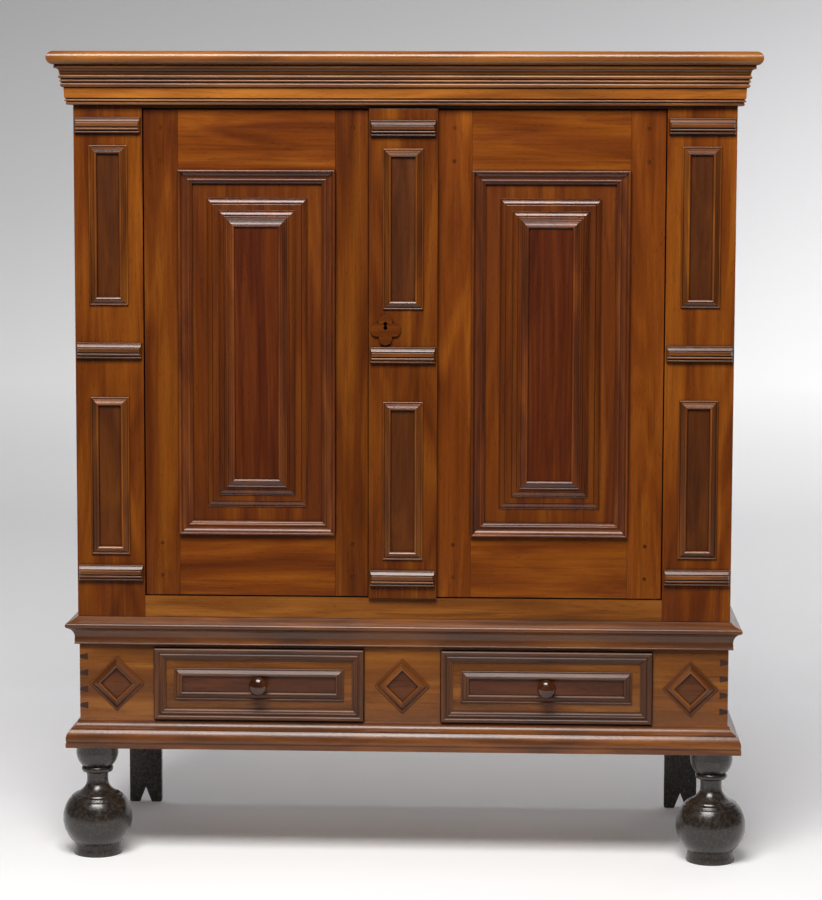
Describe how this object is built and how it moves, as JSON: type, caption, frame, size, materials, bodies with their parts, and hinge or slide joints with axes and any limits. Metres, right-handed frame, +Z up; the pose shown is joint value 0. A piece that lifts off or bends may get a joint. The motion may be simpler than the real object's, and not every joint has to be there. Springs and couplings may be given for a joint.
{
  "type": "kas cupboard",
  "caption": "Wide moulded wooden kas: heavy cornice, panelled doors beside a pilaster with a lock, drawers below between lozenges, turned ball feet in front and board feet behind.",
  "frame": {"origin": "on the floor under the middle of the overall width and depth", "axes": "+Z up, +X to the right as seen from the front, +Y from the doors to the back"},
  "size_m": [1.712, 0.684, 1.98],
  "materials": {
    "gumwood": "old varnish, satin",
    "stained_moulding": "dark stain under varnish, satin to gloss",
    "veneered_field": "figured dark red-brown field, satin",
    "ebonised_wood": "worn black paint, semi-gloss",
    "secondary_pine": "bare sawn and planed wood, matt",
    "wrought_iron": "dark patinated iron"
  },
  "bodies": {
    "case": {"left_front_foot": "ebonised_wood", "right_front_foot": "ebonised_wood", "rear_feet": "ebonised_wood", "foot_blocks": "secondary_pine", "base_front": "gumwood", "base_left_side": "gumwood", "base_right_side": "gumwood", "base_back": "secondary_pine", "drawer_runners": "secondary_pine", "waist_moulding": "stained_moulding", "base_moulding": "stained_moulding", "applied_frames": "stained_moulding", "applied_fields": "veneered_field", "left_front_stile": "gumwood", "right_front_stile": "gumwood", "front_rails": "gumwood", "side_frames": "gumwood", "side_panels": "gumwood", "case_bottom": "secondary_pine", "back_boards": "secondary_pine", "shelves": "secondary_pine", "shelf_cleats": "secondary_pine", "door_stops": "secondary_pine", "stile_tablets": "stained_moulding", "cornice_moulding": "stained_moulding", "cornice_top": "gumwood"},
    "left_door": {"left_door_stiles": "gumwood", "left_door_rails": "gumwood", "left_door_panel": "veneered_field", "left_door_panel_steps": "stained_moulding", "left_door_mouldings": "stained_moulding", "left_door_field": "veneered_field", "left_door_pegs": "stained_moulding", "left_door_hinge_pins": "wrought_iron", "left_door_straps": "wrought_iron"},
    "right_door": {"right_door_stiles": "gumwood", "right_door_rails": "gumwood", "right_door_panel": "veneered_field", "right_door_panel_steps": "stained_moulding", "right_door_mouldings": "stained_moulding", "right_door_field": "veneered_field", "right_door_pegs": "stained_moulding", "right_door_hinge_pins": "wrought_iron", "pilaster_board": "gumwood", "pilaster_tablets": "stained_moulding", "pilaster_frames": "stained_moulding", "pilaster_fields": "veneered_field", "escutcheon": "gumwood", "lock_case": "wrought_iron"},
    "lock_bolt": {"lock_bolt": "wrought_iron"},
    "top_bolt": {"top_bolt": "wrought_iron"},
    "bottom_bolt": {"bottom_bolt": "wrought_iron"},
    "left_drawer": {"left_drawer_front": "gumwood", "left_drawer_box": "secondary_pine", "left_drawer_mouldings": "stained_moulding", "left_drawer_knob": "stained_moulding"},
    "right_drawer": {"right_drawer_front": "gumwood", "right_drawer_box": "secondary_pine", "right_drawer_mouldings": "stained_moulding", "right_drawer_knob": "stained_moulding"}
  },
  "joints": [
    {"name": "left_door_hinge", "type": "hinge", "parent": "case", "child": "left_door", "pos_m": [-0.616, -0.2735, 0.655], "axis": [0, 0, -1], "range_deg": [0, 110]},
    {"name": "right_door_hinge", "type": "hinge", "parent": "case", "child": "right_door", "pos_m": [0.616, -0.2735, 0.655], "axis": [0, 0, 1], "range_deg": [0, 110]},
    {"name": "left_drawer_slide", "type": "slide", "parent": "case", "child": "left_drawer", "axis": [0, -1, 0], "range_m": [0, 0.42]},
    {"name": "right_drawer_slide", "type": "slide", "parent": "case", "child": "right_drawer", "axis": [0, -1, 0], "range_m": [0, 0.42]},
    {"name": "lock_bolt_slide", "type": "slide", "parent": "right_door", "child": "lock_bolt", "axis": [-1, 0, 0], "range_m": [0, 0.016]},
    {"name": "top_bolt_slide", "type": "slide", "parent": "left_door", "child": "top_bolt", "axis": [0, 0, 1], "range_m": [0, 0.02]},
    {"name": "bottom_bolt_slide", "type": "slide", "parent": "left_door", "child": "bottom_bolt", "axis": [0, 0, -1], "range_m": [0, 0.02]}
  ]
}
